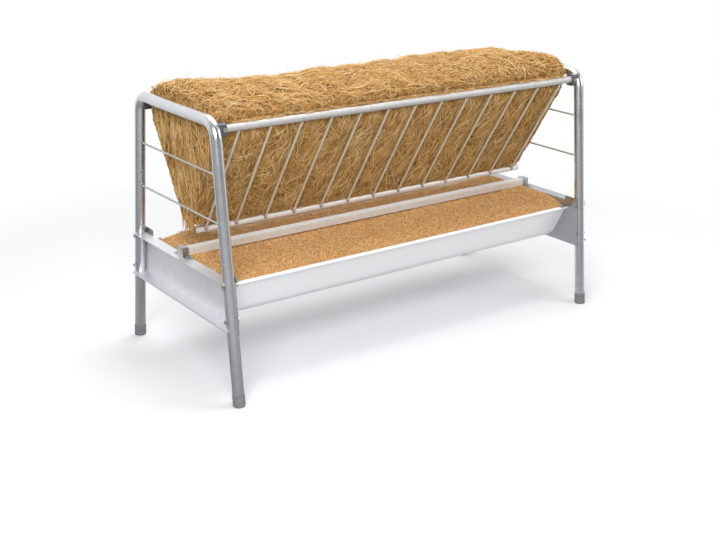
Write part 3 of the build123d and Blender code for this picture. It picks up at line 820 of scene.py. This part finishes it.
# Welds
def weld_ring(start, way, rod, tube_point, tube_way, tube, size, seed):
    """Bead round a rod where it meets a tube: start is on the rod's axis outside the tube."""
    way, tube_way = Vector(way).normalized(), Vector(tube_way).normalized()
    first = way.orthogonal().normalized()
    second = way.cross(first)
    turns, sides = 22, 7
    points = []
    for k in range(turns):
        angle = 2 * math.pi * k / turns
        outward = first * math.cos(angle) + second * math.sin(angle)
        at = Vector(start) + outward * rod
        offset = at - Vector(tube_point)
        a = way - tube_way * way.dot(tube_way)
        b = offset - tube_way * offset.dot(tube_way)
        qa, qb, qc = a.dot(a), 2 * a.dot(b), b.dot(b) - tube * tube
        root = qb * qb - 4 * qa * qc
        reach = (-qb - math.sqrt(max(root, 0))) / (2 * qa)
        centre = at + way * reach
        ripple = 1 + 0.22 * math.sin(9 * angle + seed) + 0.12 * math.sin(5 * angle + 2.3 * seed)
        for j in range(sides):
            turn = 2 * math.pi * j / sides
            out = outward * math.cos(turn) - way * math.sin(turn)
            points.append(centre + out * size * ripple)
    faces = []
    for k in range(turns):
        for j in range(sides):
            a, b = k * sides + j, k * sides + (j + 1) % sides
            c, d = ((k + 1) % turns) * sides + (j + 1) % sides, ((k + 1) % turns) * sides + j
            faces.append((a, b, c, d))
    return points, faces


def make_welds(material):
    """Beads at both ends of every bar of the rack and of every end wire."""
    groups = {}
    for name, side in (("front", -1), ("rear", 1)):
        for index in range(BARS_PER_SIDE):
            x = index * BAR_PITCH - BAR_REACH
            top = Vector((x, side * TOP_RAIL_Y, TOP_RAIL_Z))
            foot = Vector((x, 0, RACK_BOTTOM_Z))
            shift = Vector((0, side * math.cos(V_ANGLE), -math.sin(V_ANGLE))) * BAR_OFFSET
            middle, way = (top + foot) / 2 + shift, top - foot
            rings = groups.setdefault(f"rack_welds_{name}", [])
            along = (1, 0, 0)
            rings.append(weld_ring(middle, way, BAR_R, top, along, RAIL_R, 0.0021, index))
            rings.append(weld_ring(middle, -way, BAR_R, foot, along, RAIL_R, 0.0026, index + 0.7))
    for name, end in (("left", -1), ("right", 1)):
        for z in WIRE_HEIGHTS:
            for side in (-1, 1):
                leg = Vector((end * HALF, side * leg_y(z), z))
                slope = Vector((0, -side * (FOOT_HALF - TOP_HALF), TOP_HEIGHT))
                rings = groups.setdefault(f"wire_welds_{name}", [])
                rings.append(weld_ring((end * HALF, 0, z), (0, side, 0), WIRE_R, leg, slope, TUBE_R,
                                       0.0022, z * 10 + side))
    for name, rings in groups.items():
        points, faces, base = [], [], 0
        for ring_points, ring_faces in rings:
            points += [tuple(p) for p in ring_points]
            faces += [tuple(base + i for i in face) for face in ring_faces]
            base += len(ring_points)
        add_piece(name, points, faces, material, "feeder")


def assign(material, *starts):
    """The material for every CAD node whose name begins with one of starts."""
    for name, node in nodes.items():
        if name.startswith(starts):
            node.data.materials.clear()
            node.data.materials.append(material)


def dress_metal():
    """Zinc in a tone for each kind of part, with painted shade on the top rails and the right end
    plate and painted light and hay reflection on the lower rails and bars, dark iron clamps that
    also paint shade, plastic caps and the welds.
    """
    along_x, along_y = (0.25, 4, 4), (4, 0.25, 4)  # marks drawn out along the sheet
    metals = [  # name, light and dark tone, crystal scale, roughness, metallic, more, nodes
        ("frame_zinc", (0.68, 0.69, 0.71), (0.60, 0.61, 0.63), 90, 0.29, 1.0,
         {"relief": 0.03}, "end_frame"),
        ("sheet_zinc", (0.96, 0.965, 0.98), (0.93, 0.935, 0.95), 45, 0.42, 0.0,
         {"streak": along_x, "relief": 0.2}, "trough"),
        ("plate_zinc", (0.85, 0.86, 0.89), (0.77, 0.78, 0.81), 45, 0.38, 0.6,
         {"streak": along_y, "relief": 0.2}, "end_plate_left"),
        # The right end plate is the left plate's sheet in a darker copy: painted shade on its inner
        # face.
        ("inner_zinc", (0.47, 0.48, 0.50), (0.40, 0.41, 0.43), 45, 0.40, 0.75,
         {"streak": along_y, "relief": 0.2}, "end_plate_right"),
        # Top rails in a darker copy of the tubes' zinc: painted shade.
        ("top_zinc", (0.62, 0.61, 0.60), (0.53, 0.52, 0.51), 90, 0.58, 0.6,
         {"relief": 0.15}, "top_rail"),
        # The bottom rail is lighter than the other tubes, painted light, and it, the centre rail
        # and the bars are tinted warm: a painted reflection of the hay and feed around them.
        ("rail_zinc", (0.88, 0.86, 0.83), (0.78, 0.76, 0.73), 90, 0.42, 0.35,
         {"relief": 0.15}, "rack_bottom_rail"),
        ("middle_zinc", (0.80, 0.77, 0.73), (0.70, 0.67, 0.63), 90, 0.45, 0.35,
         {"relief": 0.15}, "centre_rail"),
        ("wire_zinc", (0.62, 0.61, 0.58), (0.48, 0.47, 0.45), 120, 0.45, 0.6, {}, "end_wire"),
        ("bar_zinc", (0.72, 0.62, 0.47), (0.60, 0.51, 0.38), 120, 0.50, 0.35, {}, "rack_bar"),
        ("bracket_zinc", (0.50, 0.51, 0.53), (0.36, 0.37, 0.39), 100, 0.40, 0.95, {},
         "rim_bracket", "rail_saddle"),
        ("bolt_zinc", (0.62, 0.62, 0.62), (0.42, 0.42, 0.41), 200, 0.35, 0.95, {},
         "plate_bolts", "clamp_bolts"),
        # The clamps' near-black tone is partly dark iron and partly painted shade where the top
        # rails meet the posts.
        ("clamp_iron", (0.15, 0.16, 0.18), (0.08, 0.085, 0.095), 160, 0.50, 0.6, {},
         "rail_clamp")]
    for name, light, dark, crystal, roughness, metallic, more, *starts in metals:
        assign(zinc(name, light, dark, crystal, roughness, metallic, **more), *starts)
    assign(moulded("cap_plastic", (0.17, 0.175, 0.18)), "foot_cap", "rail_plug")
    make_welds(weld_material())


def dress_hay():
    core = make_hay_core(hay_core_material())
    gold = straw("straw_gold", (0.521, 0.277, 0.077), (0.707, 0.403, 0.126), (0.8, 0.504, 0.189))
    pale = straw("straw_pale", (0.67, 0.43, 0.17), (0.84, 0.60, 0.29), (0.93, 0.74, 0.46))
    brown = straw("straw_brown", (0.22, 0.095, 0.026), (0.44, 0.225, 0.064), (0.62, 0.35, 0.115))
    olive = straw("straw_olive", (0.25, 0.165, 0.042), (0.44, 0.29, 0.086), (0.62, 0.43, 0.155))
    layers = [  # piece, stalks, tone, length, radius, lift, share on top, then a blade's section
        # The lighter tones lie more on the top and the darker ones more on the faces: partly the
        # hay's own mix, partly painted light on the top and painted shade on the faces.
        ("hay_stalks_brown", 9500, brown, (0.04, 0.16), (0.0007, 0.0018), (0.0, 0.004), 0.40),
        ("hay_stalks_olive", 5500, olive, (0.04, 0.15), (0.0007, 0.0016), (0.001, 0.007), 0.35),
        ("hay_stalks_gold", 9500, gold, (0.04, 0.15), (0.0007, 0.0017), (0.001, 0.010), 0.55),
        ("hay_stalks_pale", 5500, pale, (0.03, 0.12), (0.0006, 0.0014), (0.002, 0.012), 0.55),
        ("hay_leaves", 6500, gold, (0.012, 0.045), (0.0012, 0.0028), (0.001, 0.011), 0.6,
         4, 4, 0.25)]
    for layer in layers:
        make_stalks(core, *layer)
    make_flyaways(core, "hay_ends", 1500, pale)
    make_fringe("hay_fringe_gold", 1500, gold)
    make_fringe("hay_fringe_pale", 800, pale)
    make_hanging("hay_hanging_gold", 1500, gold)
    make_hanging("hay_hanging_pale", 900, pale)
    make_lowest("hay_lowest", 1500, gold)
    make_tail("hay_tail", 130, gold)
    return pale


def dress_feed(straws):
    kernels = [  # piece, its tones from dark to light, kernels, size
        ("feed_kernels_orange", "kernel_orange",
         ((0.62, 0.285, 0.085), (0.78, 0.41, 0.13), (0.83, 0.49, 0.19)), 8000, 0.0036),
        ("feed_kernels_gold", "kernel_gold",
         ((0.73, 0.47, 0.19), (0.80, 0.55, 0.27), (0.84, 0.64, 0.36)), 7000, 0.0034),
        ("feed_kernels_brown", "kernel_brown",
         ((0.44, 0.21, 0.07), (0.56, 0.30, 0.11), (0.66, 0.38, 0.16)), 3500, 0.0032)]
    make_feed(feed_core_material(), [(piece, grain_material(name, *tones), count, size)
                                     for piece, name, tones, count, size in kernels])
    make_fallen("feed_straws", 330, straws)


def main():
    make_camera()
    make_light()
    make_floor()
    dress_metal()
    straws = dress_hay()
    dress_feed(straws)
    scene = bpy.context.scene
    scene.view_settings.view_transform = "Standard"


main()
